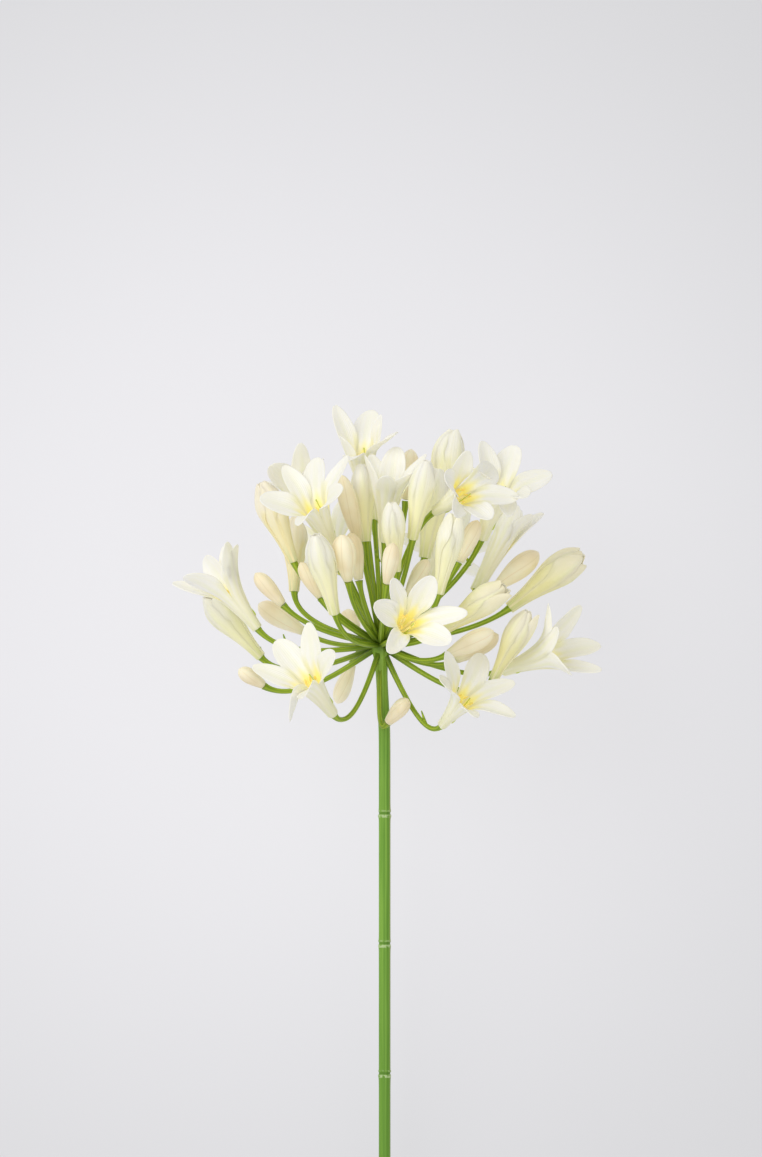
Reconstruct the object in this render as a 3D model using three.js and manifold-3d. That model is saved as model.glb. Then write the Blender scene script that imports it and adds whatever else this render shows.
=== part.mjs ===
// A cut agapanthus stem, lying on a table: a green scape with moulded collars, whose top spreads into
// pedicels, and on each pedicel a floret, which is a closed bud, a half-open trumpet or an open bloom of
// six tepals with yellow stamens. Millimetres, +Z up, the stem along Y with its umbel towards +Y.
//
// The plant is modelled in the umbel's own frame: the origin is the hub where the pedicels meet, +Z runs
// up the stem's axis, and -Y is the umbel's front. The group then lays it on its back on z = 0.
import * as THREE from "three";
import { mergeVertices } from "three/addons/utils/BufferGeometryUtils.js";
import Module from "manifold-3d";

const wasm = await Module();
wasm.setup();
const { Manifold, Mesh: SolidMesh } = wasm;

// ---- driving dimensions ----
const HUB_HEIGHT = 60; // the hub over the table
const STEM_SLOPE = 11; // degrees between the lying stem and the table
const BOX_CENTRE = new THREE.Vector2(2.2, -100.7); // x and y of the box's centre from the hub
const STEM_RADIUS = 2.45;
const STEM_SIDES = 10;
const STEM_SWAY = { shift: 1.4, from: 5, to: 38 }; // how far it bows sideways, and where, below the hub
const COLLAR_FIRST = 66; // below the hub
const COLLAR_STEP = 52;
const COLLAR_RISE = 0.35;
const COLLAR_CLEARANCE = 10; // from the stem's cut end
const HUB_RADIUS = 4.2;
const PEDICEL_RADIUS = 1.25;
const PEDICEL_END_RADIUS = 1.75;
const PEDICEL_SIDES = 5;
const PEDICEL_SHARES = [0, 0.2, 0.4, 0.6, 0.9, 1]; // where its rings are along its curve
const SEAT_GAP = 0.3; // between a pedicel's end and its floret, and under the stamens
const BASE_RADIUS = 2; // a floret's foot
const TEPALS = 6;
const TUBE_WALL = 0.9;
const TEPAL_THICKNESS = 1.1;
const TEPAL_THINNING = 0.3; // share of its thickness that a tepal loses towards its tip
const WELL_DEPTH = 4; // where the hollow of the tube ends, from the foot
const PARTING_SHARE = 0.83; // of its sector that a tepal fills just past the tube, clear of its neighbours
const STAMEN_FOOT = { radius: 1.35, height: 1.9, sides: 6 };
const STAMEN_SIDES = 3;
const SPINE_STEPS = 60;

// The tube is fused tepals. lean is a tepal's angle from the floret's axis at the foot, where the tepals
// part, and at the tip. bend is the share of the blade over which it takes its last lean. widths are the
// half-widths of an outer and an inner tepal, curl is the radius of a tepal's cross-section, and whorl is
// how far the outer three stand outside the inner three.
const SHAPES = {
  open: {
    tube: 16, blade: 22, lean: [4, 17, 62], widths: [4.6, 5.3], curl: 9, whorl: 0.5, bend: 0.6,
    stations: [0.2, 0.48, 0.74, 0.92],
  },
  opening: {
    tube: 16, blade: 22, lean: [4, 16, 42], widths: [4.5, 5.2], curl: 8, whorl: 0.5, bend: 0.7,
    stations: [0.2, 0.48, 0.74, 0.92],
  },
  half: {
    tube: 15, blade: 20, lean: [3, 16, -20], widths: [4.2, 3.6], curl: 5.2, whorl: 0.7, bend: 1,
    stations: [0.3, 0.64, 0.9],
  },
};
const BUDS = {
  bud: { length: 20, radius: 4.1 },
  broad_bud: { length: 20, radius: 5 },
  long_bud: { length: 28, radius: 3.8 },
};
const TUBE_STATIONS = [0, 0.5, 1]; // shares of the tube's length
const BUD_SIDES = 10;
const BUD_STATIONS = [0, 0.2, 0.42, 0.64, 0.82, 0.94];
const BUD_WIDEST = 0.64; // share of its length
const BUD_SEAM = 0.94; // share of the radius that its seams stand out

const GREEN = { color: 0x6f9a2c, roughness: 0.5, metalness: 0 };
const WHITE = { color: 0xf4f2df, roughness: 0.55, metalness: 0 };
const CREAM = { color: 0xeadfc0, roughness: 0.55, metalness: 0 };
const YELLOW = { color: 0xf0cf4a, roughness: 0.6, metalness: 0 };

// Each floret: its name, kind and size, where its foot is in the umbel's frame, the way it points, and
// its roll, in degrees, from a tepal facing the umbel's front. lifts closes single tepals of a floret by
// so many degrees, or spreads them if negative. What rests is cut flat where it meets the table.
const FLORETS = [
  { name: "bloom_left", kind: "opening", base: [-49.6, -10, 7.2], aim: [-0.6, -0.05, 0.8], roll: 26 },
  { name: "half_left_low", kind: "half", size: 0.98, base: [-48.8, 10, -4.4],
    aim: [-0.66, -0.15, 0.74], roll: -30, lifts: [0, 0, -40, 0, 0, 0] },
  { name: "bud_left", kind: "bud", size: 0.83, base: [-39, -18, 16.4], aim: [-0.65, -0.2, 0.73] },
  { name: "bud_left_back", kind: "bud", size: 1.1, base: [-31, 26, 5], aim: [-0.82, 0.2, 0.5] },
  { name: "bud_left_low", kind: "broad_bud", size: 0.63, base: [-46.8, -10, -16], aim: [-0.76, -0.4, 0.5] },
  { name: "bloom_low_left", kind: "open", base: [-19.2, -30, -26.8],
    aim: [-0.5, -0.5, 0.7], roll: 12, lifts: [0, 5, 0, 0, 0, -20] },
  { name: "bud_low_back", kind: "bud", size: 0.85, base: [-11.6, 30, -8], aim: [-0.36, 0.1, -0.92] },
  { name: "bud_stem", kind: "broad_bud", size: 0.68, base: [2.6, -8, -31], aim: [0.6, -0.4, 0.69] },
  { name: "bloom_low_right", kind: "open", size: 0.94, base: [24.6, -20, -31.4],
    aim: [0.485, -0.64, 0.6], roll: 16, lifts: [15, 0, 0, 0, 0, 10] },
  { name: "bloom_front", kind: "open", size: 0.96, base: [6, -36, 4.4],
    aim: [0.3, -0.9, 0.3], roll: 20, lifts: [0, 5, 0, 5, 15, 10] },
  { name: "bud_front", kind: "bud", size: 0.85, base: [2.4, -42, 24.4], aim: [0.14, -0.3, 0.94] },
  { name: "half_centre", kind: "half", size: 0.83, base: [6, -33, 30],
    aim: [-0.06, -0.25, 0.97], roll: 60, lifts: [-10, 0, 0, 0, -8, 0] },
  { name: "bud_centre_left", kind: "broad_bud", size: 0.98, base: [-13, -33.4, 25.4],
    aim: [-0.13, -0.35, 0.93] },
  { name: "bud_centre", kind: "bud", size: 0.95, base: [-8.8, -24, 26], aim: [-0.15, -0.15, 0.94] },
  { name: "half_left", kind: "half", size: 0.97, base: [-18.4, -38, 13.2], aim: [-0.23, -0.25, 0.94] },
  { name: "bud_inner_left", kind: "bud", size: 0.8, base: [-24, -14, 19], aim: [-0.5, -0.1, 0.86] },
  { name: "half_upper_left", kind: "half", base: [-35, -12, 34], aim: [-0.37, -0.1, 0.92], roll: 30 },
  { name: "half_behind_left", kind: "half", size: 0.88, base: [-34.8, 6, 22], aim: [0.02, 0.1, 0.99] },
  { name: "bloom_upper_left", kind: "open", base: [-19.2, -27, 40],
    aim: [-0.38, -0.44, 0.81], roll: -22, lifts: [-25, 0, 0, 0, 15, 0] },
  { name: "bloom_behind_left", kind: "open", base: [-24, 2, 45], aim: [-0.45, 0.15, 0.88], roll: 10 },
  { name: "bloom_crown", kind: "open", base: [-6.8, 9, 59.5],
    aim: [-0.08, -0.4, 0.91], lifts: [10, 0, 10, 0, 25, 30] },
  { name: "half_crown", kind: "half", size: 0.9, base: [-6, -11, 42], aim: [-0.06, 0, 1] },
  { name: "bud_long", kind: "long_bud", base: [-8.8, -16, 41], aim: [-0.25, -0.2, 0.95] },
  { name: "half_back_crown", kind: "half", size: 0.95, base: [-3, 20, 50], aim: [-0.1, 0.5, 0.85] },
  { name: "bloom_centre", kind: "opening", base: [1.6, -14, 42],
    aim: [0.05, -0.3, 0.95], lifts: [0, 10, 15, 5, 0, 5] },
  { name: "bud_crown", kind: "bud", size: 1.02, base: [10, 8, 58], aim: [0.1, 0, 0.99] },
  { name: "half_right_crown", kind: "half", size: 0.94, base: [12.6, -31, 42.8], aim: [0.17, -0.2, 0.97] },
  { name: "half_inner_right", kind: "half", size: 1.05, base: [17.6, -6, 35.6], aim: [0.16, 0.05, 0.98] },
  { name: "half_top_right", kind: "half", size: 1.08, base: [22, 10, 51], aim: [0.2, 0.05, 0.97] },
  { name: "bloom_right_crown", kind: "open", base: [22, -28, 53.5],
    aim: [0.6, -0.7, 0.38], roll: 8, lifts: [-15, 0, 0, 10, 15, 20] },
  { name: "bloom_upper_right", kind: "open", size: 1.1, base: [40.4, -8, 43],
    aim: [0.32, -0.3, 0.9], lifts: [-40, -20, 0, 0, 0, 5] },
  { name: "half_behind_right", kind: "opening", size: 1.1, base: [38.4, 10, 22.4],
    aim: [0.45, 0.25, 0.86], lifts: [0, 8, 8, 0, 0, 0] },
  { name: "half_right", kind: "half", size: 0.94, base: [22.8, -40, 21.2],
    aim: [0.2, -0.1, 0.97], roll: 60, lifts: [-12, 0, 0, 0, -8, 0] },
  { name: "bud_inner_right", kind: "bud", size: 0.9, base: [31.2, -14, 33.2], aim: [0.4, -0.1, 0.9] },
  { name: "bud_right", kind: "bud", size: 1.13, base: [45.6, 4, 22.8], aim: [0.77, 0.1, 0.63] },
  { name: "half_low_right", kind: "half", size: 0.97, base: [23.6, -24, 5.6],
    aim: [0.78, -0.3, 0.55], roll: 60, lifts: [-8, 0, 0, 0, -6, 0] },
  { name: "half_far_right", kind: "half", size: 1.08, base: [52, 0, 15.2], aim: [0.79, 0.05, 0.6] },
  { name: "bloom_right", kind: "opening", size: 1.06, base: [49.2, -4, -10],
    aim: [0.83, -0.42, 0.33], roll: -8, lifts: [0, 0, 0, -5, 0, -12] },
  { name: "half_low", kind: "half", size: 0.9, base: [44.8, -20, -12.8],
    aim: [0.45, -0.2, 0.87], roll: -30, lifts: [0, 0, -25, 0, 0, 0] },
  { name: "bud_low_right", kind: "bud", size: 1.02, base: [26.4, -26, -3.6], aim: [0.88, -0.1, 0.45] },
  { name: "bud_low_right_back", kind: "bud", base: [29.6, -6, -6], aim: [0.85, 0.1, 0.5] },
  { name: "bloom_back_left", kind: "open", base: [-16, 33, 30], aim: [-0.25, 0.78, 0.57], rests: true },
  { name: "bloom_back_right", kind: "open", base: [20, 34, 26], aim: [0.28, 0.76, 0.58], rests: true },
  { name: "half_back", kind: "half", size: 0.95, base: [2, 38, 34], aim: [0.05, 0.75, 0.66] },
  { name: "bud_back", kind: "bud", size: 0.95, base: [-10, 40, 6], aim: [-0.2, 0.85, 0.3] },
  { name: "bud_inner", kind: "bud", size: 0.82, base: [10.6, -19, 20], aim: [0.48, -0.2, 0.85] },
];

// ---- small helpers ----
const rad = (degrees) => THREE.MathUtils.degToRad(degrees);
const mix = (a, b, share) => a + (b - a) * share;
const vector = (list) => new THREE.Vector3(...list);

// A closed geometry from a list of points and a list of triangles.
function geometryOf(points, faces) {
  const geometry = new THREE.BufferGeometry();
  const numbers = points.flatMap((point) => point.toArray());
  geometry.setAttribute("position", new THREE.Float32BufferAttribute(numbers, 3));
  geometry.setIndex(faces.flat());
  return geometry;
}

// A closed tube through rings of equal count, with a fan over each end.
function loft(rings) {
  const points = rings.flat();
  const sides = rings[0].length;
  const faces = [];
  for (let ring = 0; ring + 1 < rings.length; ring++) {
    for (let side = 0; side < sides; side++) {
      const a = ring * sides + side;
      const b = ring * sides + ((side + 1) % sides);
      faces.push([a, b, b + sides], [a, b + sides, a + sides]);
    }
  }
  const last = (rings.length - 1) * sides;
  for (let side = 1; side + 1 < sides; side++) {
    faces.push([0, side + 1, side], [last, last + side, last + side + 1]);
  }
  return geometryOf(points, faces);
}

function solidOf(geometry) {
  const bare = new THREE.BufferGeometry();
  bare.setAttribute("position", geometry.getAttribute("position"));
  bare.setIndex(geometry.index);
  const merged = mergeVertices(bare, 1e-4);
  return new Manifold(
    new SolidMesh({
      numProp: 3,
      vertProperties: new Float32Array(merged.attributes.position.array),
      triVerts: new Uint32Array(merged.index.array),
    }),
  );
}

function geometryFrom(solid) {
  const mesh = solid.getMesh();
  const geometry = new THREE.BufferGeometry();
  geometry.setAttribute("position", new THREE.BufferAttribute(new Float32Array(mesh.vertProperties), 3));
  geometry.setIndex(new THREE.BufferAttribute(new Uint32Array(mesh.triVerts), 1));
  return geometry;
}

// ---- florets, each in its own frame: the foot at the origin, +Z along its axis ----

// The tepal's line in the half-plane through the axis: radius, height and lean at a length from the foot.
function spine(shape, length, lift) {
  const total = shape.tube + shape.blade;
  let radius = BASE_RADIUS;
  let height = 0;
  let lean = shape.lean[0];
  for (let step = 0; step < SPINE_STEPS; step++) {
    const at = (length * (step + 0.5)) / SPINE_STEPS;
    if (at < shape.tube) {
      lean = mix(shape.lean[0], shape.lean[1], at / shape.tube);
    } else {
      const share = Math.min(1, (at - shape.tube) / (total - shape.tube) / shape.bend);
      lean = mix(shape.lean[1], shape.lean[2] - lift, Math.sin((share * Math.PI) / 2));
    }
    radius += (length / SPINE_STEPS) * Math.sin(rad(lean));
    height += (length / SPINE_STEPS) * Math.cos(rad(lean));
  }
  return { radius, height, lean: rad(lean) };
}

// Half the blade's width at a share of its length: it opens from the tube's sector to a blunt point.
function halfWidth(share, start, widest) {
  const opened = mix(start, widest, THREE.MathUtils.smoothstep(share, 0, 0.5));
  return opened * Math.sqrt(1 - share ** 3);
}

function perianth(shape, roll, lifts) {
  const points = [];
  const faces = [];
  const add = (point) => points.push(point) - 1;
  const turn = Math.PI / TEPALS;
  const at = (radius, angle, height) =>
    add(new THREE.Vector3(radius * Math.cos(angle), radius * Math.sin(angle), height));
  const columnAngle = (column) => rad(roll) + column * turn;
  const columns = TEPALS * 2;
  const wrap = (column) => (column + columns) % columns;
  const ringOf = (radius, height) =>
    Array.from({ length: columns }, (_, column) => at(radius, columnAngle(column), height));
  const quad = (a, b, c, d) => faces.push([a, b, c], [a, c, d]);

  // The tube's outside, from the foot to where the tepals part.
  const outer = TUBE_STATIONS.map((share) => {
    const { radius, height } = spine(shape, share * shape.tube, 0);
    return ringOf(radius + (share ? TUBE_WALL / 2 : 0), height);
  });
  const foot = add(new THREE.Vector3(0, 0, 0));
  for (let column = 0; column < columns; column++) {
    const next = wrap(column + 1);
    faces.push([foot, outer[0][next], outer[0][column]]);
    for (let ring = 0; ring + 1 < outer.length; ring++) {
      quad(outer[ring][column], outer[ring][next], outer[ring + 1][next], outer[ring + 1][column]);
    }
  }

  // The tube's inside, down to the well's flat floor.
  const parting = spine(shape, shape.tube, 0);
  const well = spine(shape, WELL_DEPTH, 0);
  const mouth = ringOf(parting.radius - TUBE_WALL / 2, parting.height);
  const floor = ringOf(well.radius - TUBE_WALL / 2, well.height);
  const centre = add(new THREE.Vector3(0, 0, well.height));
  for (let column = 0; column < columns; column++) {
    const next = wrap(column + 1);
    quad(mouth[column], mouth[next], floor[next], floor[column]);
    faces.push([floor[column], floor[next], centre]);
  }

  // The blades. Each edge is one point per station, so a blade's section is a curved lens.
  const rim = outer[outer.length - 1];
  for (let tepal = 0; tepal < TEPALS; tepal++) {
    const angle = columnAngle(tepal * 2);
    const [left, middle, right] = [wrap(tepal * 2 - 1), tepal * 2, wrap(tepal * 2 + 1)];
    const side = tepal % 2 ? -1 : 1;
    const widest = shape.widths[tepal % 2];
    const start = parting.radius * Math.sin(turn);
    const place = (radius, height, across) =>
      add(
        new THREE.Vector3(
          radius * Math.cos(angle) - across * Math.sin(angle),
          radius * Math.sin(angle) + across * Math.cos(angle),
          height,
        ),
      );
    let below = { left: rim[left], out: rim[middle], right: rim[right], in: mouth[middle] };
    let seams = { left: mouth[left], right: mouth[right] };
    for (const share of shape.stations) {
      const line = spine(shape, shape.tube + share * shape.blade, lifts[tepal]);
      const stand = side * shape.whorl * Math.min(1, share / 0.3);
      const full = halfWidth(share, start, widest);
      const wide = seams ? Math.min(full, PARTING_SHARE * line.radius * Math.tan(turn)) : full;
      const curl = mix(parting.radius, shape.curl, Math.min(1, share * 2));
      const rise = curl - Math.sqrt(Math.max(0, curl * curl - wide * wide));
      const [inR, inZ] = [-Math.cos(line.lean), Math.sin(line.lean)];
      const half = (TEPAL_THICKNESS / 2) * (1 - TEPAL_THINNING * share);
      const spot = (inward, across) =>
        place(line.radius + inR * (inward - stand), line.height + inZ * (inward - stand), across);
      const row = {
        left: spot(rise, -wide),
        out: spot(-half, 0),
        right: spot(rise, wide),
        in: spot(half, 0),
      };
      quad(below.left, below.out, row.out, row.left);
      quad(below.out, below.right, row.right, row.out);
      if (seams) {
        quad(below.in, seams.left, row.left, row.in);
        quad(seams.right, below.in, row.in, row.right);
        faces.push([seams.left, below.left, row.left], [below.right, seams.right, row.right]);
        seams = null;
      } else {
        quad(below.in, below.left, row.left, row.in);
        quad(below.right, below.in, row.in, row.right);
      }
      below = row;
    }
    const end = spine(shape, shape.tube + shape.blade, lifts[tepal]);
    const tip = place(end.radius + side * shape.whorl * Math.cos(end.lean), end.height, 0);
    faces.push([below.left, below.out, tip], [below.out, below.right, tip]);
    faces.push([below.in, below.left, tip], [below.right, below.in, tip]);
  }
  return geometryOf(points, faces);
}

// A closed bud: a club that is widest past its middle, with a shallow seam between tepals.
function budGeometry({ length, radius }, roll) {
  const rings = BUD_STATIONS.map((share) => {
    const belly =
      share < BUD_WIDEST
        ? mix(BASE_RADIUS * 0.85, radius, Math.sin((share / BUD_WIDEST) * (Math.PI / 2)) ** 1.2)
        : radius * Math.sqrt(1 - ((share - BUD_WIDEST) / (1 - BUD_WIDEST)) ** 2.2);
    return Array.from({ length: BUD_SIDES }, (_, side) => {
      const angle = rad(roll) + (side * 2 * Math.PI) / BUD_SIDES;
      const reach = side % 2 && share ? belly * BUD_SEAM : belly;
      return new THREE.Vector3(reach * Math.cos(angle), reach * Math.sin(angle), share * length);
    });
  });
  const points = [...rings.flat(), new THREE.Vector3(0, 0, length)];
  const tip = points.length - 1;
  const faces = [];
  for (let ring = 0; ring < rings.length; ring++) {
    for (let side = 0; side < BUD_SIDES; side++) {
      const a = ring * BUD_SIDES + side;
      const b = ring * BUD_SIDES + ((side + 1) % BUD_SIDES);
      if (ring + 1 < rings.length) faces.push([a, b, b + BUD_SIDES], [a, b + BUD_SIDES, a + BUD_SIDES]);
      else faces.push([a, b, tip]);
    }
  }
  for (let side = 1; side + 1 < BUD_SIDES; side++) faces.push([0, side + 1, side]);
  return geometryOf(points, faces);
}

// Six stamens on one foot, which sits in the tube's well. Each is a thin filament with a thick anther.
const STAMEN_LINE = [
  // radius from the floret's axis, height over the foot of the floret, half-thickness
  [0.8, 5.4, 0.38],
  [2.3, 18.5, 0.38],
  [3, 21.5, 0.85],
  [3.8, 25, 0.35],
];
function stamens(roll) {
  const ringRound = (centre, half, sides) =>
    Array.from({ length: sides }, (_, side) => {
      const angle = (side * 2 * Math.PI) / sides;
      return centre.clone().add(new THREE.Vector3(half * Math.cos(angle), half * Math.sin(angle), 0));
    });
  const foot = [
    WELL_DEPTH + SEAT_GAP,
    WELL_DEPTH + SEAT_GAP + STAMEN_FOOT.height,
  ].map((height) => ringRound(new THREE.Vector3(0, 0, height), STAMEN_FOOT.radius, STAMEN_FOOT.sides));
  const parts = [solidOf(loft(foot))];
  for (let stamen = 0; stamen < TEPALS; stamen++) {
    const angle = rad(roll + stamen * 60 + 8 * Math.sin(stamen * 2.4));
    const reach = 1 - 0.08 * (stamen % 3);
    const rings = STAMEN_LINE.map(([radius, height, half]) =>
      ringRound(
        new THREE.Vector3(radius * Math.cos(angle), radius * Math.sin(angle), mix(5, height, reach)),
        half,
        STAMEN_SIDES,
      ),
    );
    parts.push(solidOf(loft(rings)));
  }
  return geometryFrom(Manifold.union(parts));
}

// Turns a floret's frame so that +Z is its aim and +X is as near the umbel's front as it can be.
function turnTo(aim) {
  const axis = vector(aim).normalize();
  const front = new THREE.Vector3(0, -1, 0);
  const across = front.addScaledVector(axis, -front.dot(axis)).normalize();
  const third = new THREE.Vector3().crossVectors(axis, across);
  return new THREE.Quaternion().setFromRotationMatrix(new THREE.Matrix4().makeBasis(across, third, axis));
}

// What would reach below the table is cut away, so the floret rests on a small flat spot.
function pressedFlat(geometry, mesh) {
  const up = new THREE.Vector3(0, -Math.cos(rad(STEM_SLOPE)), Math.sin(rad(STEM_SLOPE)));
  const table = -HUB_HEIGHT - up.dot(mesh.position);
  const own = up.applyQuaternion(mesh.quaternion.clone().invert());
  return geometryFrom(solidOf(geometry).trimByPlane(own.toArray(), table));
}

function floretMesh(floret) {
  const { name, kind, size = 1, base, aim, roll = 0, lifts = [0, 0, 0, 0, 0, 0] } = floret;
  const bud = BUDS[kind];
  const geometry = bud
    ? budGeometry({ length: bud.length * size, radius: bud.radius * size }, roll)
    : perianth(SHAPES[kind], roll, lifts);
  const mesh = new THREE.Mesh(geometry, new THREE.MeshStandardMaterial(bud ? CREAM : WHITE));
  mesh.name = name;
  mesh.position.copy(vector(base));
  mesh.quaternion.copy(turnTo(aim));
  if (!bud) mesh.scale.setScalar(size);
  if (floret.rests) mesh.geometry = pressedFlat(geometry, mesh);
  return mesh;
}

function stamenMesh(floret) {
  const mesh = new THREE.Mesh(stamens((floret.roll ?? 0) + 30), new THREE.MeshStandardMaterial(YELLOW));
  mesh.name = floret.name.replace("bloom", "stamens");
  mesh.position.copy(vector(floret.base));
  mesh.quaternion.copy(turnTo(floret.aim));
  mesh.scale.setScalar(floret.size ?? 1);
  return mesh;
}

// ---- the green scape: stem, hub and pedicels, grown as one ----

// A pedicel leaves the hub, bends, and comes into its floret's foot along the floret's axis.
function pedicelCurve({ base, aim }) {
  const axis = vector(aim).normalize();
  const end = vector(base).addScaledVector(axis, -SEAT_GAP);
  const reach = end.length();
  const before = end.clone().addScaledVector(axis, -0.3 * reach);
  const after = before.clone().multiplyScalar(0.45);
  const root = after.clone().setLength(HUB_RADIUS * 0.6);
  return new THREE.CubicBezierCurve3(root, after, before, end);
}

function pedicel(floret) {
  const curve = pedicelCurve(floret);
  const axis = vector(floret.aim).normalize();
  let across = new THREE.Vector3(0.3, 0.5, 0.81).cross(axis).normalize();
  const rings = PEDICEL_SHARES.map((share) => {
    const centre = curve.getPoint(share);
    const along = share === 1 ? axis : curve.getTangent(share);
    across = across.addScaledVector(along, -across.dot(along)).normalize();
    const third = new THREE.Vector3().crossVectors(along, across);
    const radius = share === 1 ? PEDICEL_END_RADIUS : PEDICEL_RADIUS;
    return Array.from({ length: PEDICEL_SIDES }, (_, side) => {
      const angle = (side * 2 * Math.PI) / PEDICEL_SIDES;
      return centre
        .clone()
        .addScaledVector(across, radius * Math.cos(angle))
        .addScaledVector(third, radius * Math.sin(angle));
    });
  });
  return solidOf(loft(rings));
}

// The stem is as long as it takes for the lowest flat of its cut end to meet the table.
const STEM_FLAT = STEM_RADIUS * Math.cos(Math.PI / STEM_SIDES);
const STEM_LENGTH = (HUB_HEIGHT - STEM_FLAT * Math.cos(rad(STEM_SLOPE))) / Math.sin(rad(STEM_SLOPE));

function stem() {
  const rows = [[-STEM_LENGTH, STEM_RADIUS]]; // each a height and a radius
  for (let at = COLLAR_FIRST; at < STEM_LENGTH - COLLAR_CLEARANCE; at += COLLAR_STEP) {
    rows.push([-at, STEM_RADIUS], [-at - 0.8, STEM_RADIUS + COLLAR_RISE]);
    rows.push([-at - 1.2, STEM_RADIUS - COLLAR_RISE], [-at - 1.8, STEM_RADIUS + COLLAR_RISE]);
    rows.push([-at - 2.6, STEM_RADIUS]);
  }
  rows.push([-24, STEM_RADIUS], [-8, STEM_RADIUS], [-3, HUB_RADIUS * 0.9]);
  rows.push([0, HUB_RADIUS], [2.5, HUB_RADIUS * 0.8], [4, 1.5]);
  rows.sort((a, b) => a[0] - b[0]);
  const rings = rows.map(([height, radius]) => {
    const sway = STEM_SWAY.shift * THREE.MathUtils.smoothstep(-height, STEM_SWAY.from, STEM_SWAY.to);
    return Array.from({ length: STEM_SIDES }, (_, side) => {
      const angle = (side * 2 * Math.PI) / STEM_SIDES;
      return new THREE.Vector3(radius * Math.cos(angle) + sway, radius * Math.sin(angle), height);
    });
  });
  return solidOf(loft(rings));
}

function scapeMesh() {
  const solid = Manifold.union([stem(), ...FLORETS.map(pedicel)]);
  const mesh = new THREE.Mesh(geometryFrom(solid), new THREE.MeshStandardMaterial(GREEN));
  mesh.name = "scape";
  return mesh;
}

// ---- the plant, upright in the umbel's frame, and then laid on its back ----
const plant = new THREE.Group();
plant.add(scapeMesh());
for (const floret of FLORETS) {
  plant.add(floretMesh(floret));
  if (floret.name.startsWith("bloom")) plant.add(stamenMesh(floret));
}
plant.rotation.x = -rad(90 - STEM_SLOPE);
plant.position.set(-BOX_CENTRE.x, -BOX_CENTRE.y, HUB_HEIGHT);

const agapanthus = new THREE.Group();
agapanthus.add(plant);
export default agapanthus;
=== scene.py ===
"""A cut agapanthus stem that lies on its back on a pale table.

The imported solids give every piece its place. Each is replaced here by a finer one: florets of thin curved
tepals, buds with their seams, stamens, and a ribbed green stem with its stalks. A piece is modelled in
millimetres about its own foot, and then set in the plant, in metres.
"""
import math
import random

import bmesh
import bpy
from mathutils import Matrix, Vector


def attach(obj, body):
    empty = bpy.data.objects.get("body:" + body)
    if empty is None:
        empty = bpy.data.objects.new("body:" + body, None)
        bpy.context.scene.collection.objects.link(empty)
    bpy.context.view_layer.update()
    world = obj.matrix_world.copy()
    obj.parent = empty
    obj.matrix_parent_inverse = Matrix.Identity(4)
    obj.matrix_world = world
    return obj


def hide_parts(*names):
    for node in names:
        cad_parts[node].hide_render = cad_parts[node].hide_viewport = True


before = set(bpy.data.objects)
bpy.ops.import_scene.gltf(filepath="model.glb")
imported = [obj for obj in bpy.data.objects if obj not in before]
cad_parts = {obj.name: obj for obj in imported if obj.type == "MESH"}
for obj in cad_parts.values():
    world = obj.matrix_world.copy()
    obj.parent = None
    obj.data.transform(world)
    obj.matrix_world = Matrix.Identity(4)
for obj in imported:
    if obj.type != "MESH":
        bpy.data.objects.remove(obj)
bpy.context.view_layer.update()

bpy.ops.object.select_all(action="DESELECT")

# ---- the plant's own frame: the hub at the origin, the stem's axis along +Z, the umbel's front at -Y ----
MM = 0.001
HUB_HEIGHT = 60  # the hub over the table
STEM_SLOPE = math.radians(11)
BOX_CENTRE = (2.2, -100.7)  # x and y of the box's centre from the hub
PLACE = (
    Matrix.Translation(Vector((-BOX_CENTRE[0], -BOX_CENTRE[1], HUB_HEIGHT)) * MM)
    @ Matrix.Rotation(STEM_SLOPE - math.pi / 2, 4, "X")
    @ Matrix.Scale(MM, 4)
)

# ---- sizes, in millimetres ----
STEM_RADIUS = 2.45
STEM_SIDES = 24
STEM_SWAY = 1.4  # how far it bows sideways
SWAY_SPAN = (5, 38)  # between which depths below the hub it does so
STEM_STEP = 9  # between the rings of its plain lengths
STEM_GROOVES = {18: 0.86, 20: 0.84, 22: 0.95, 1: 0.92, 4: 0.86, 8: 0.93, 12: 0.86, 15: 0.97}  # by side
COLLAR_FIRST = 66  # below the hub
COLLAR_STEP = 52
COLLAR_COUNT = 5
COLLAR = ((0, 0), (-0.4, 0.2), (-0.9, 0), (-1.4, -0.2), (-2, 0.15), (-2.6, 0.25), (-3.2, 0))  # drop and rise
COLLAR_BUMPED = (-0.4, -2, -2.6)  # the drops that have small bumps
COLLAR_BUMPS = 7  # at each of those
BUMP_RISE = 1.07  # how much wider the stem is there
HUB_RADIUS = 4.2
STEM_LENGTH = (HUB_HEIGHT - STEM_RADIUS * math.cos(STEM_SLOPE)) / math.sin(STEM_SLOPE)
PEDICEL_RADIUS = 1.25
PEDICEL_SIDES = 10
PEDICEL_RIBS = (0.97, 0.8)  # share of its radius at its ribs and grooves
PEDICEL_FLARE = 1.4  # how much wider its end is
PEDICEL_ROOT = 0.6  # where in the hub it starts, as a share of the hub's radius
LAST_REACH = 0.3  # how far before its floret its last handle is, as a share of its distance from the hub
FIRST_REACH = 0.45  # where its first handle is, as a share of the way to the last one
SEAT_GAP = 0.3  # from a pedicel's end to its floret
FOOT_RADIUS = 2
FOOT_OVERHANG = 0.8  # how far a floret's ragged foot reaches over its pedicel
TEPALS = 6
SECTOR = 360 / TEPALS  # degrees
TEPAL_COLUMNS = 8
TEPAL_THICKNESS = 0.45
TUBE_LAP, FOOT_LAP = 1.08, 1.1  # how much wider a tepal is than its share of the tube and the foot
TUBE_RISE, FOOT_RISE = 0.16, 0.14  # how far its edges rise there, as a share of the radius
MIDRIB = 0.12  # how deep it is sunk, as a share of that rise
TURN_SPAN = (0.3, 0.7)  # between which shares of its length a tepal takes its turn
TWIST_SPAN = (0.38, 0.7)  # and its twist
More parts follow.
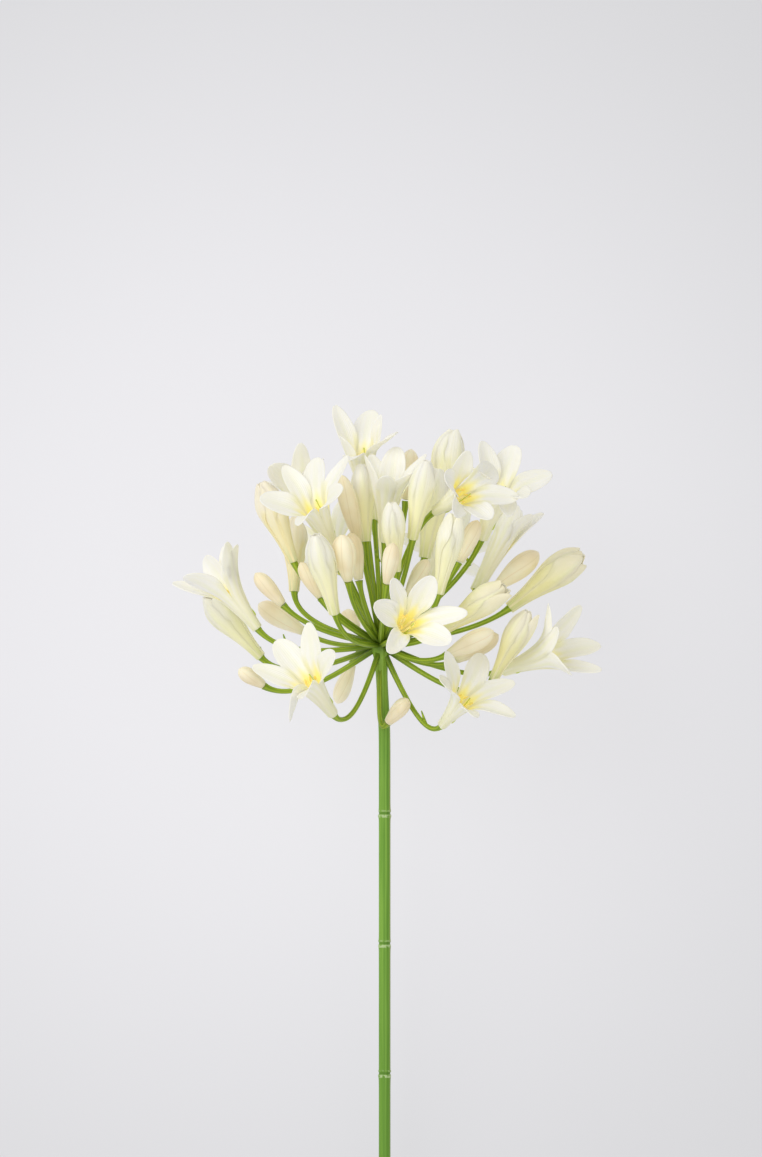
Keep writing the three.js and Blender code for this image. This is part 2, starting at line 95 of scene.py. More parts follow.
TUBE_SHARES = (0, 0.2, 0.4, 0.6, 0.8, 1)
BLADE_SHARES = (0.12, 0.25, 0.38, 0.51, 0.64, 0.77, 0.88, 0.96, 1)
APART = 1000  # how far apart a tepal's rows are while each is shaped
PRESSED = 1.5  # what is lower than this over the table is pressed flat

# lean is a tepal's angle from the floret's axis at its foot, where the tepals part, and at its tip. bend is
# the share of the blade over which it takes its last lean; without one, it turns in more and more to its tip.
# widths are half-widths of an outer and an inner tepal, curl is the radius of its cross-section, and whorl is
# how far the outer three stand outside the rest. The higher tip is, the blunter a tepal ends, and flare is
# how far that end turns out.
SHAPES = {
    "open": {"tube": 16, "blade": 22, "lean": (4, 17, 62), "widths": (4.8, 5.7), "curl": 9,
             "tip": (3, 4.2), "whorl": 0.15, "bend": 0.6},
    "opening": {"tube": 16, "blade": 22, "lean": (4, 16, 42), "widths": (4.7, 5.6), "curl": 9,
                "tip": (3, 4.2), "whorl": 0.15, "bend": 0.7},
    "half": {"tube": 15, "blade": 20, "lean": (3, 15, -56), "widths": (5.2, 4.6), "tip": (3.2, 4.2),
             "whorl": 0.2, "flare": 22},
    "slim": {"tube": 18, "blade": 20, "lean": (1, 9, 8), "widths": (4.2, 4), "tip": (2.6, 3.2),
             "whorl": 0.15},
}
BUDS = {"bud": (20, 4.1), "broad_bud": (20, 5), "long_bud": (28, 3.8)}  # length and radius
BUD_WIDEST = 0.64  # share of its length
BUD_SEAMS = (0.94, 0.9)  # share of its radius at its seams, in turn
STAMEN_RING = 0.9  # how far the stamens stand from the floret's axis
STAMEN_FOOT = 4.5  # how high in the tube they start
PISTIL_FOOT = 3.5

# Each floret: the node it stands for, its kind and size, its foot's place, the way it points, and its roll.
# For its tepals in turn, lifts closes them by so many degrees, or spreads them if negative, turns moves them
# round the floret's axis, twists turns their faces about their own length, and longs lengthens their blades.
# bow moves the bend of its pedicel, and skin is the one of SKINS that a half-open floret has outside.
FLORETS = [
    {"node": "bloom_left", "kind": "opening", "base": (-49.6, -10, 7.2), "aim": (-0.6, -0.05, 0.8),
     "roll": 20, "lifts": (3, -3, 6, 15, 6, 3), "turns": (18, -24, 8, -18, 2, 0),
     "twists": (0, 0, 0, -30, -30, 0), "longs": (1.05, 0.9, 0.95, 0.95, 1, 1)},
    {"node": "half_left_low", "kind": "half", "size": 0.98, "base": (-48.8, 10, -4.4),
     "aim": (-0.66, -0.15, 0.74), "roll": -30, "lifts": (-6, -24, -40, 0, 0, 0),
     "longs": (0.95, 0.85, 1, 1, 1, 1)},
    {"node": "bud_left", "kind": "bud", "size": 0.83, "base": (-39, -18, 16.4),
     "aim": (-0.65, -0.2, 0.73)},
    {"node": "bud_left_back", "kind": "bud", "size": 1.1, "base": (-31, 26, 5), "aim": (-0.82, 0.2, 0.5)},
    {"node": "bud_left_low", "kind": "broad_bud", "size": 0.63, "base": (-46.8, -10, -16),
     "aim": (-0.76, -0.4, 0.5)},
    {"node": "bloom_low_left", "kind": "open", "base": (-19.2, -30, -26.8), "aim": (-0.5, -0.5, 0.7),
     "roll": 4, "lifts": (-6, 6, 18, 6, 21, -30), "turns": (-16, -18, 10, 2, -2, 20),
     "twists": (20, 35, 25, 0, -20, 55)},
    {"node": "bud_low_back", "kind": "bud", "size": 0.85, "base": (-11.6, 30, -8),
     "aim": (-0.36, 0.1, -0.92)},
    {"node": "bud_stem", "kind": "broad_bud", "size": 0.68, "base": (2.6, -8, -31),
     "aim": (0.6, -0.4, 0.69), "bow": (1.6, -1, 0)},
    {"node": "bloom_low_right", "kind": "open", "size": 0.94, "base": (24.6, -20, -31.4),
     "aim": (0.485, -0.64, 0.6), "roll": 24, "lifts": (6, 3, -9, -15, 18, 9),
     "turns": (-2, 2, 2, -10, 6, -6), "twists": (0, 0, 0, 0, -20, 0)},
    {"node": "bloom_front", "kind": "open", "size": 0.96, "base": (6, -36, 4.4), "aim": (0.3, -0.9, 0.3),
     "roll": 20, "lifts": (0, 21, 3, 27, 21, 12), "turns": (-12, 8, 0, 2, 8, -10),
     "twists": (0, 15, 0, -15, 0, -20)},
    {"node": "bud_front", "kind": "bud", "size": 0.85, "base": (2.4, -42, 24.4),
     "aim": (0.14, -0.3, 0.94)},
    {"node": "half_centre", "kind": "half", "size": 0.83, "base": (6, -33, 30),
     "aim": (-0.06, -0.25, 0.97), "roll": 60, "lifts": (2, 6, 6, 6, 2, 6)},
    {"node": "bud_centre_left", "kind": "broad_bud", "size": 0.98, "base": (-13, -33.4, 25.4),
     "aim": (-0.13, -0.35, 0.93)},
    {"node": "bud_centre", "kind": "bud", "size": 0.95, "base": (-8.8, -24, 26),
     "aim": (-0.15, -0.15, 0.94)},
    {"node": "half_left", "kind": "half", "size": 0.97, "base": (-18.4, -38, 13.2),
     "aim": (-0.23, -0.25, 0.94)},
    {"node": "bud_inner_left", "kind": "bud", "size": 0.8, "base": (-24, -14, 19),
     "aim": (-0.5, -0.1, 0.86)},
    {"node": "half_upper_left", "kind": "half", "base": (-35, -12, 34), "aim": (-0.37, -0.1, 0.92),
     "roll": 30, "skin": "peach"},
    {"node": "half_behind_left", "kind": "half", "size": 0.88, "base": (-34.8, 6, 22),
     "aim": (0.02, 0.1, 0.99), "skin": "peach"},
    {"node": "bloom_upper_left", "kind": "open", "base": (-19.2, -27, 40), "aim": (-0.38, -0.44, 0.81),
     "roll": -22, "lifts": (-28, -3, 6, -3, 12, 18), "turns": (-4, -2, 4, -2, -26, 0),
     "twists": (10, 35, 15, 0, 0, -38), "longs": (0.7, 0.95, 1, 1, 1, 1)},
    {"node": "bloom_behind_left", "kind": "open", "base": (-24, 2, 45), "aim": (-0.45, 0.15, 0.88),
     "roll": 10, "lifts": (18, -21, -3, 0, 15, 12), "turns": (16, -34, 14, 0, -34, 32),
     "twists": (0, 0, 0, 0, 45, 0), "longs": (1.05, 0.95, 0.95, 1, 0.9, 0.95)},
    {"node": "bloom_crown", "kind": "open", "base": (-6.8, 9, 59.5), "aim": (-0.08, -0.4, 0.91),
     "roll": -20, "lifts": (-9, 9, 48, 0, 30, 50), "turns": (10, 6, -10, 6, -6, 20),
     "twists": (0, -3, 30, 0, 0, 0), "longs": (0.95, 1.05, 0.9, 1, 1.01, 0.6)},
    {"node": "half_crown", "kind": "half", "size": 0.9, "base": (-6, -11, 42), "aim": (-0.06, 0, 1)},
    {"node": "bud_long", "kind": "long_bud", "base": (-8.8, -16, 41), "aim": (-0.25, -0.2, 0.95)},
    {"node": "half_back_crown", "kind": "half", "size": 0.95, "base": (-3, 20, 50),
     "aim": (-0.1, 0.5, 0.85)},
    {"node": "bloom_centre", "kind": "opening", "base": (1.6, -14, 42), "aim": (0.05, -0.3, 0.95),
     "roll": -10, "lifts": (-9, -3, 9, 3, -6, 27), "turns": (8, -16, 0, 0, -24, 6),
     "longs": (1, 0.95, 1, 1, 0.9, 0.95)},
    {"node": "bud_crown", "kind": "bud", "size": 1.02, "base": (10, 8, 58), "aim": (0.1, 0, 0.99)},
    {"node": "half_right_crown", "kind": "half", "size": 0.94, "base": (12.6, -31, 42.8),
     "aim": (0.17, -0.2, 0.97)},
    {"node": "half_inner_right", "kind": "half", "size": 1.05, "base": (17.6, -6, 35.6),
     "aim": (0.16, 0.05, 0.98)},
    {"node": "half_top_right", "kind": "half", "size": 1.08, "base": (22, 10, 51),
     "aim": (0.2, 0.05, 0.97), "roll": 40, "lifts": (0, 4, -6, 0, -4, 4)},
    {"node": "bloom_right_crown", "kind": "open", "base": (22, -28, 53.5), "aim": (0.6, -0.7, 0.38),
     "roll": 16, "lifts": (-6, 18, -9, -42, 36, 5), "turns": (-2, -20, 6, -10, 22, 11),
     "twists": (0, 20, 0, 0, -40, 0), "longs": (0.95, 0.92, 0.9, 0.95, 0.9, 0.88)},
    {"node": "bloom_upper_right", "kind": "open", "size": 1.1, "base": (40.4, -8, 43),
     "aim": (0.32, -0.3, 0.9), "roll": -10, "lifts": (-45, -12, -3, 3, 9, 0),
     "turns": (24, -22, 22, 10, -16, 34), "twists": (0, 20, 35, -30, 0, 0),
     "longs": (0.9, 0.95, 0.95, 1.05, 0.95, 0.95)},
    {"node": "half_behind_right", "kind": "slim", "size": 1.1, "base": (38.4, 10, 22.4),
     "aim": (0.45, 0.25, 0.86), "roll": -10, "lifts": (14, -28, -20, 8, 22, 24),
     "twists": (0, 0, 35, 0, 0, 0), "longs": (0.8, 0.8, 1.05, 0.9, 0.9, 0.8)},
    {"node": "half_right", "kind": "half", "size": 0.94, "base": (22.8, -40, 21.2),
     "aim": (0.2, -0.1, 0.97), "roll": 60, "lifts": (-12, 0, 0, 0, -8, 0)},
    {"node": "bud_inner_right", "kind": "bud", "size": 0.9, "base": (31.2, -14, 33.2),
     "aim": (0.4, -0.1, 0.9)},
    {"node": "bud_right", "kind": "bud", "size": 1.13, "base": (45.6, 4, 22.8), "aim": (0.77, 0.1, 0.63)},
    {"node": "half_low_right", "kind": "half", "size": 0.97, "base": (23.6, -24, 5.6),
     "aim": (0.78, -0.3, 0.55), "roll": 60, "lifts": (-28, -14, 0, 0, -10, 0), "skin": "olive"},
    {"node": "half_far_right", "kind": "half", "size": 1.08, "base": (52, 0, 15.2),
     "aim": (0.79, 0.05, 0.6), "roll": 20, "lifts": (-10, -20, 0, 5, 0, 5),
     "longs": (0.9, 0.85, 1, 1, 1, 1), "skin": "olive"},
    {"node": "bloom_right", "kind": "opening", "size": 1.06, "base": (49.2, -4, -10),
     "aim": (0.83, -0.42, 0.33), "roll": -16, "lifts": (3, -9, 15, 0, 3, -12),
     "turns": (-8, -14, 0, -2, -2, 14), "twists": (0, 0, 15, -40, 0, 20)},
    {"node": "half_low", "kind": "half", "size": 0.9, "base": (44.8, -20, -12.8),
     "aim": (0.45, -0.2, 0.87), "roll": -30, "lifts": (0, 0, -25, 0, 0, 0), "skin": "olive"},
    {"node": "bud_low_right", "kind": "bud", "size": 1.02, "base": (26.4, -26, -3.6),
     "aim": (0.88, -0.1, 0.45)},
    {"node": "bud_low_right_back", "kind": "bud", "base": (29.6, -6, -6), "aim": (0.85, 0.1, 0.5)},
    {"node": "bloom_back_left", "kind": "open", "base": (-16, 33, 30), "aim": (-0.25, 0.78, 0.57)},
    {"node": "bloom_back_right", "kind": "open", "base": (20, 34, 26), "aim": (0.28, 0.76, 0.58)},
    {"node": "half_back", "kind": "half", "size": 0.95, "base": (2, 38, 34), "aim": (0.05, 0.75, 0.66)},
    {"node": "bud_back", "kind": "bud", "size": 0.95, "base": (-10, 40, 6), "aim": (-0.2, 0.85, 0.3)},
    {"node": "bud_inner", "kind": "bud", "size": 0.82, "base": (10.6, -19, 20),
     "aim": (0.48, -0.2, 0.85)},
]

# By how many degrees at most chance moves each tepal.
CHANCE = {"lifts": 2, "turns": 2, "twists": 9}

# How far along its pedicel a floret has a small scale.
SPIKES = {"half_left_low": 0.97, "bloom_left": 0.7, "half_upper_left": 0.97, "half_back_crown": 0.65,
          "bloom_low_right": 0.66, "bloom_upper_right": 0.77}


# ---- modelling helpers ----
def mix(a, b, share):
    return a + (b - a) * share


def smooth(value, low, high):
    share = min(1, max(0, (value - low) / (high - low)))
    return share * share * (3 - 2 * share)


def pick(piece, test):
    """In edit mode, selects the piece's points that pass the test, and no others."""
    mesh = bmesh.from_edit_mesh(piece.data)
    for point in mesh.verts:
        point.select = test(point.co)
    mesh.select_flush_mode()
    bmesh.update_edit_mesh(piece.data)


def shift(offset):
    bpy.ops.transform.translate(value=offset)


def stretch(factors, about=(0, 0, 0)):
    bpy.ops.transform.resize(value=factors, center_override=about)


def edit(on):
    bpy.ops.object.mode_set(mode="EDIT" if on else "OBJECT")


def finish_with(piece, kind, **settings):
    """Adds a modifier to the piece and applies it."""
    bpy.context.view_layer.objects.active = piece
    modifier = piece.modifiers.new(kind.lower(), kind)
    for name, value in settings.items():
        setattr(modifier, name, value)
    bpy.ops.object.modifier_apply(modifier=modifier.name)


def on_ray(spot, angle, width):
    """Whether the spot lies in a direction round the Z axis, give or take the width, in radians."""
    return abs(math.remainder(math.atan2(spot.y, spot.x) - angle, 2 * math.pi)) < width


def choose(parts):
    """Selects the parts, and nothing else, and makes the first one active."""
    bpy.ops.object.select_all(action="DESELECT")
    for part in parts:
        part.select_set(True)
    bpy.context.view_layer.objects.active = parts[0]


def linked(name, data):
    """A new object, in the scene."""
    thing = bpy.data.objects.new(name, data)
    bpy.context.scene.collection.objects.link(thing)
    return thing


def poly_line(name, spots, closed=False):
    """A curve that is straight from each (x, y) to the next."""
    curve = bpy.data.curves.new(name, "CURVE")
    line = curve.splines.new("POLY")
    line.points.add(len(spots) - 1)
    line.use_cyclic_u = closed
    for point, (x, y) in zip(line.points, spots):
        point.co = (x, y, 0, 1)
    return linked(name, curve)


def copy_of(piece):
    twin = piece.copy()
    twin.data = piece.data.copy()
    bpy.context.scene.collection.objects.link(twin)
    return twin


def joined(parts, name):
    """One piece made of the parts, with their turns and places in its mesh."""
    choose(parts)
    bpy.ops.object.transform_apply(location=True, rotation=True, scale=True)
    if len(parts) > 1:
        bpy.ops.object.join()
    piece = bpy.context.object
    piece.name = name
    piece.data.name = name
    return piece


def settle(piece, place):
    """Sets the piece in the plant, with its place in its mesh."""
    choose([piece])
    piece.matrix_world = place
    bpy.ops.object.transform_apply(location=True, rotation=True, scale=True)
    bpy.ops.object.shade_smooth()
    bpy.ops.object.select_all(action="DESELECT")


def press(piece):
    """Flattens what would reach below the table."""
    bpy.context.view_layer.objects.active = piece
    edit(True)
    pick(piece, lambda spot: spot.z < PRESSED * MM)
    stretch((1, 1, 0.15), (0, 0, PRESSED * MM))
    edit(False)


def dress(piece, node):
    """Lets the piece stand for the node."""
    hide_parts(node)
    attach(piece, "root")


def floret_place(floret):
    """From a floret's own frame, with its foot at the origin and its axis along +Z, to the table."""
    axis = Vector(floret["aim"]).normalized()
    front = Vector((0, -1, 0))
    across = (front - axis * front.dot(axis)).normalized()
    turn = Matrix((across, axis.cross(across), axis)).transposed().to_4x4()
    return PLACE @ Matrix.Translation(floret["base"]) @ turn @ Matrix.Scale(floret.get("size", 1), 4)


# ---- finishes ----
class Wire:
    """A shader value. Arithmetic on it adds Math nodes to its finish."""

    def __init__(self, finish, socket):
        self.finish = finish
        self.socket = socket

    def math(self, operation, *values):
        return self.finish.node("ShaderNodeMath", {"operation": operation}, dict(enumerate(values)))

    def __add__(self, other):
        return self.math("ADD", self, other)

    def __sub__(self, other):
        return self.math("SUBTRACT", self, other)

    def __rsub__(self, other):
        return self.math("SUBTRACT", other, self)

    def __mul__(self, other):
        return self.math("MULTIPLY", self, other)

    __radd__ = __add__
    __rmul__ = __mul__

    def alone(self, operation):
        return self.math(operation, self)

    def within(self, low, high):
        """0 below low, 1 above high, and smooth between them; low may be above high."""
        settings = {"interpolation_type": "SMOOTHSTEP"}
        ends = (low, high, 0, 1) if low < high else (high, low, 1, 0)
        return self.finish.node("ShaderNodeMapRange", settings, dict(enumerate((self, *ends))))


class Finish:
    """A material. Colours are (red, green, blue) as linear light."""

    def __init__(self, name, **constants):
        self.material = bpy.data.materials.new(name)
        self.material.use_nodes = True
        self.tree = self.material.node_tree
        self.shader = self.tree.nodes["Principled BSDF"]
        self.material.cycles.emission_sampling = "NONE"
        for socket, value in constants.items():
            self.shader.inputs[socket.replace("_", " ")].default_value = value

    def node(self, kind, settings=None, inputs=None, output=0):
        """Adds a node, sets it up, and then feeds its inputs with values or wires."""
        made = self.tree.nodes.new(kind)
        for name, value in (settings or {}).items():
            setattr(made, name, value)
        for name, value in (inputs or {}).items():
            self.feed(made.inputs[name], value)
        return Wire(self, made.outputs[output])

    def feed(self, socket, value):
        if isinstance(value, Wire):
            self.tree.links.new(value.socket, socket)
        elif isinstance(value, tuple) and len(value) == 3 and socket.type == "RGBA":
            socket.default_value = (*value, 1)
        else:
            socket.default_value = value

    def blend(self, first, second, share):
        """The first colour where share is 0, the second where it is 1."""
        ports = {0: share, 6: first, 7: second}
        return self.node("ShaderNodeMix", {"data_type": "RGBA", "clamp_factor": True}, ports, output=2)

    def parts(self, vector):
        """A vector's x, y and z."""
        split = self.node("ShaderNodeSeparateXYZ", None, {0: vector}).socket.node
        return [Wire(self, socket) for socket in split.outputs]

    def along(self):
        """The share of a petal's or bud's length, and the share across or round it."""
        across, length, _ = self.parts(self.node("ShaderNodeUVMap", {"uv_map": "UVMap"}))
        return length, across

    def spot(self):
        """The place on the surface, in metres."""
        return self.node("ShaderNodeTexCoord", output="Object")

    def away_from(self, place):
        """How far the surface is from a place, in metres."""
        ports = {0: self.spot(), 1: place}
        return self.node("ShaderNodeVectorMath", {"operation": "DISTANCE"}, ports, output="Value")

    def noise(self, scale, detail=2, spot=None):
        ports = {"Vector": spot or self.spot(), "Scale": scale, "Detail": detail}
        return self.node("ShaderNodeTexNoise", None, ports)

    def bump(self, height, strength, distance):
        ports = {"Height": height, "Strength": strength, "Distance": distance}
        self.paint("Normal", self.node("ShaderNodeBump", None, ports))

    def paint(self, socket, wire):
        self.feed(self.shader.inputs[socket], wire)


def veins(finish, across, lines):
    """Fine lengthwise lines on a petal."""
    return ((across * lines + finish.noise(60) * 0.5) * (2 * math.pi)).alone("SINE")


PETAL = (0.935, 0.92, 0.86)
PETAL_SHADE = (0.92, 0.90, 0.77)
RIB = (0.85, 0.87, 0.56)
# GLOW and PETAL_GLOW set the painted glow that the petals emit in place of light let through their thin
# tepals.
GLOW = (1, 0.97, 0.85)
PETAL_GLOW = 0.06


def petal_finish(name, tube, foot, edge, reach, rib_strength, glow, blade=PETAL, blade_shade=PETAL_SHADE):
    """Skin that turns from the blade's colour to the tube's and then the foot's, with a faint midrib.

    The tube's colour comes in between the two lengths of reach. edge is the colour of a tepal's two edges
    in the tube. glow is painted light: an emitted glow that stands in for the light the thin tepals let
    through and lifts their shade, little in the blade and this much in the tube. The blade is clouded
    with blade_shade.
    """
    finish = Finish(name, Subsurface_Weight=0.4, Subsurface_Radius=(1, 0.95, 0.8),
                    Subsurface_Scale=0.0012, Emission_Strength=1)
    length, across = finish.along()
    off_rib = (across - 0.5).alone("ABSOLUTE")
    margin = off_rib.within(0.24, 0.36) * length.within(0.66, 0.54)
    tint = finish.blend(blade, blade_shade, finish.noise(45).within(0.35, 0.75))
    tint = finish.blend(tint, blade_shade, veins(finish, across, 5).within(0, 1) * 0.35)
    tint = finish.blend(tint, RIB, off_rib.within(0.16, 0) * length.within(1, 0.5) * rib_strength)
    tint = finish.blend(tint, tube, (length + off_rib * 0.25).within(*reach))
    tint = finish.blend(tint, foot, length.within(0.3, 0.03))
    tint = finish.blend(tint, edge, margin)
    finish.paint("Base Color", tint)
    # Painted glow: an emission that stands in for light through the thin tepals and lifts their shade,
    # strongest in the tube.
    dim = tuple(level * PETAL_GLOW for level in GLOW)
    bright = tuple(level * glow for level in tube)
    lit = length.within(0.6, 0.35) * (1 - margin)
    finish.paint("Emission Color", finish.blend(dim, bright, lit))
    finish.bump(veins(finish, across, 12) * 0.5 + finish.noise(900, 3) * 0.4, 0.2, 0.0002)
    finish.paint("Roughness", finish.noise(300) * 0.16 + 0.44)
    return finish.material


def bud_finish():
    """Warm cream skin, darker along the seams and greener towards the foot, with a faint painted glow."""
    finish = Finish("bud skin", Subsurface_Weight=0.3, Subsurface_Radius=(1, 0.9, 0.7),
                    Subsurface_Scale=0.0012, Emission_Color=(1, 0.85, 0.55, 1), Emission_Strength=0.05)
    length, around = finish.along()
    warm = finish.blend((0.98, 0.89, 0.68), (0.87, 0.75, 0.51), finish.noise(70).within(0.35, 0.7))
    off_middle = ((around * TEPALS).alone("FRACT") - 0.5).alone("ABSOLUTE")
    warm = finish.blend(warm, (0.74, 0.64, 0.40), off_middle.within(0.40, 0.5) * 0.4)
    warm = finish.blend(warm, (0.72, 0.70, 0.44), length.within(0.35, 0.02) * 0.8)
    finish.paint("Base Color", warm)
    finish.bump(veins(finish, around, 36) * 0.5 + finish.noise(900, 3) * 0.4, 0.15, 0.0002)
    finish.paint("Roughness", finish.noise(300) * 0.16 + 0.44)
    return finish.material


def plain_finish(name, first, second, scale, roughness):
    """Two close colours in soft patches, with a faint painted glow of the first."""
    finish = Finish(name, Roughness=roughness, Subsurface_Weight=0.1, Subsurface_Scale=0.001,
                    Emission_Color=(*first, 1), Emission_Strength=0.12)
    finish.paint("Base Color", finish.blend(first, second, finish.noise(scale).within(0.35, 0.65)))
    finish.bump(finish.noise(2500, 3), 0.2, 0.0001)
    return finish.material


HUB = PLACE.to_translation()
# Painted shade: the dark green that the pedicels and the stem's top turn to near the hub, where the florets
# shade them.
HUB_PAINTED_SHADE = (0.045, 0.11, 0.003)
PITH = (0.55, 0.64, 0.30)


def pedicel_finish():
    """Waxy green skin with dark grooves between the ribs, darker in the hub's shade."""
    finish = Finish("pedicel green", Specular_IOR_Level=0.35)
    around = finish.along()[0]  # a curve's map has its length along x
    groove = 0.5 - (around * (math.pi * PEDICEL_SIDES)).alone("COSINE") * 0.5
    patch = finish.noise(120)
    shade = groove * 0.6 + patch.within(0.3, 0.75) * 0.2
    tone = finish.blend((0.42, 0.54, 0.035), (0.12, 0.25, 0.006), shade)
    tone = finish.blend(tone, HUB_PAINTED_SHADE, finish.away_from(HUB).within(0.018, 0.004) * 0.7)
    finish.paint("Base Color", tone)
    finish.bump(finish.noise(1500, 3) * 0.4 - groove * 0.4, 0.2, 0.0002)
    finish.paint("Roughness", patch * 0.15 + 0.36)
    return finish.material


def stem_finish():
    """Green skin, painted shade in its grooves and by the hub, a brownish edge, pale scars at the collars and
    a pale cut end.
    """
    finish = Finish("stem green", Specular_IOR_Level=0.35)
    level = finish.node("ShaderNodeVectorRotate", {"rotation_type": "X_AXIS"},
                        {"Vector": finish.spot(), "Center": HUB, "Angle": -STEM_SLOPE})
    x, y, _ = finish.parts(level)
    across = (x + (BOX_CENTRE[0] - STEM_SWAY) * MM) * (1 / STEM_RADIUS / MM)  # -1 to 1
    below = (y + BOX_CENTRE[1] * MM) * (-1 / MM)  # millimetres from the hub
    long_spot = finish.node("ShaderNodeVectorMath", {"operation": "MULTIPLY"}, {0: level, 1: (1, 0.02, 1)})
    grain = finish.noise(1400, 2, long_spot)
    tone = finish.blend((0.23, 0.44, 0.055), (0.13, 0.31, 0.025), grain.within(0.3, 0.7) * 0.7)
    # Painted shade: dark lines along the two grooves that face the camera.
    middle_groove_shade = (across + 0.05).alone("ABSOLUTE").within(0.13, 0.02)
    tone = finish.blend(tone, (0.07, 0.20, 0.008), middle_groove_shade * 0.55)
    right_groove_shade = (across - 0.55).alone("ABSOLUTE").within(0.16, 0.02)
    tone = finish.blend(tone, (0.06, 0.18, 0.008), right_groove_shade * 0.7)
    tone = finish.blend(tone, (0.36, 0.34, 0.09), (across + grain * 0.2).within(0.86, 1.02) * 0.7)
    tone = finish.blend(tone, (0.10, 0.25, 0.018), below.within(80, 220) * 0.55)
    # The scars are measured from 4 mm above each collar, and there are none above the first one.
    scar = ((below - COLLAR_FIRST + 4) * (1 / COLLAR_STEP)).alone("FRACT") * COLLAR_STEP
    on_collar = below.within(60, 62)
    crease = (scar - 5.2).alone("ABSOLUTE").within(0.6, 0.1)
    tone = finish.blend(tone, (0.06, 0.17, 0.008), crease * on_collar * 0.6)
    pale = (scar - 4.3).alone("ABSOLUTE").within(0.5, 0.1) * 0.5
    pale = pale + (scar - 6.4).alone("ABSOLUTE").within(0.8, 0.3)
    pale = pale * finish.noise(900).within(0.36, 0.56) * on_collar
    tone = finish.blend(tone, (0.55, 0.68, 0.36), pale * 0.75)
    tone = finish.blend(tone, (0.34, 0.46, 0.04), below.within(45, 8) * 0.4)
    # Painted shade at the hub.
    tone = finish.blend(tone, HUB_PAINTED_SHADE, below.within(5, 0) * 0.6)
    tone = finish.blend(tone, PITH, below.within(STEM_LENGTH - 0.4, STEM_LENGTH - 0.2))
    finish.paint("Base Color", tone)
    finish.bump(finish.noise(1500, 3) * 0.3 + grain, 0.3, 0.0002)
    finish.paint("Roughness", grain * 0.15 + 0.36)
    return finish.material


INSIDE = petal_finish("petal inside", tube=(0.97, 0.86, 0.31), foot=(0.98, 0.84, 0.28),
                      edge=(0.88, 0.86, 0.60), reach=(0.61, 0.41), rib_strength=0.4, glow=0.2)
OPEN_OUTSIDE = petal_finish("open petal outside", tube=(0.90, 0.88, 0.66), foot=(0.80, 0.80, 0.52),
                            edge=(0.88, 0.86, 0.64), reach=(0.62, 0.2), rib_strength=0.5, glow=0.06)
HALF_OUTSIDE = petal_finish("half-open petal outside", tube=(0.92, 0.89, 0.56), foot=(0.70, 0.72, 0.36),
                            edge=(0.88, 0.85, 0.56), reach=(0.9, 0.35), rib_strength=0.8, glow=0.09,
                            blade=(0.955, 0.925, 0.82), blade_shade=(0.93, 0.90, 0.71))
SKINS = {  # the outside of the half-open florets that aren't cream
    # The olive skin is partly the florets' own duller tint and partly painted shade, darker than the rest.
    "olive": petal_finish("olive petal outside", tube=(0.84, 0.79, 0.42), foot=(0.62, 0.65, 0.30),
                          edge=(0.80, 0.75, 0.45), reach=(0.88, 0.4), rib_strength=0.8, glow=0.05,
                          blade=(0.93, 0.87, 0.69), blade_shade=(0.86, 0.79, 0.55)),
    "peach": petal_finish("peach petal outside", tube=(0.94, 0.84, 0.54), foot=(0.66, 0.67, 0.38),
                          edge=(0.92, 0.80, 0.45), reach=(0.8, 0.3), rib_strength=0.3, glow=0.07,
                          blade=(0.96, 0.87, 0.69), blade_shade=(0.93, 0.82, 0.60)),
}
BUD_SKIN = bud_finish()
FILAMENT = plain_finish("filament", (0.98, 0.92, 0.55), (0.97, 0.86, 0.40), scale=400, roughness=0.5)
ANTHER = plain_finish("anther", (0.98, 0.83, 0.28), (0.95, 0.73, 0.17), scale=700, roughness=0.65)
STYLE = plain_finish("style", (0.60, 0.66, 0.14), (0.45, 0.55, 0.09), scale=400, roughness=0.5)
PEDICEL_GREEN = pedicel_finish()
STEM_GREEN = stem_finish()


# ---- tepals ----
def spine(shape, length, lift):
    """A tepal's line: its distance from the floret's axis and its height, at a length from the foot."""
    steps = 60
    radius, height = FOOT_RADIUS, 0
    for step in range(steps):
        at = length * (step + 0.5) / steps
        if at < shape["tube"]:
            lean = mix(shape["lean"][0], shape["lean"][1], at / shape["tube"])
        else:
            share = (at - shape["tube"]) / shape["blade"]
            turn = math.sin(min(1, share / shape["bend"]) * math.pi / 2) if "bend" in shape else share**1.8
            lean = mix(shape["lean"][1], shape["lean"][2] - lift, turn)
            lean += shape.get("flare", 0) * smooth(share, 0.82, 1)
        radius += length / steps * math.sin(math.radians(lean))
        height += length / steps * math.cos(math.radians(lean))
    return radius, height


def tepal_rows(shape, whorl):
    """Length from the foot, half-width and the rise of the edges, for each row of a tepal.

    Without a curl of its own, a tepal keeps the curve of the floret's round.
    """
    sector = math.sin(math.pi / TEPALS)
    rows = [(-FOOT_OVERHANG, FOOT_RADIUS * sector * FOOT_LAP, FOOT_RADIUS * FOOT_RISE)]
    for share in TUBE_SHARES:
        radius = spine(shape, share * shape["tube"], 0)[0]
        rows.append((share * shape["tube"], radius * sector * TUBE_LAP, radius * TUBE_RISE))
    parting = spine(shape, shape["tube"], 0)[0]
    for share in BLADE_SHARES:
        wide = mix(parting * sector * TUBE_LAP, shape["widths"][whorl], smooth(share, 0, 0.5))
        wide *= math.sqrt(max(0.02, 1 - share ** shape["tip"][whorl]))
        if "curl" in shape:
            curl = mix(parting, shape["curl"], min(1, share * 2))
        else:
            curl = max(spine(shape, shape["tube"] + share * shape["blade"], 0)[0] * 0.85, wide * 1.02)
        rise = curl - math.sqrt(curl**2 - wide**2)
        rows.append((shape["tube"] + share * shape["blade"], wide, rise))
    return rows


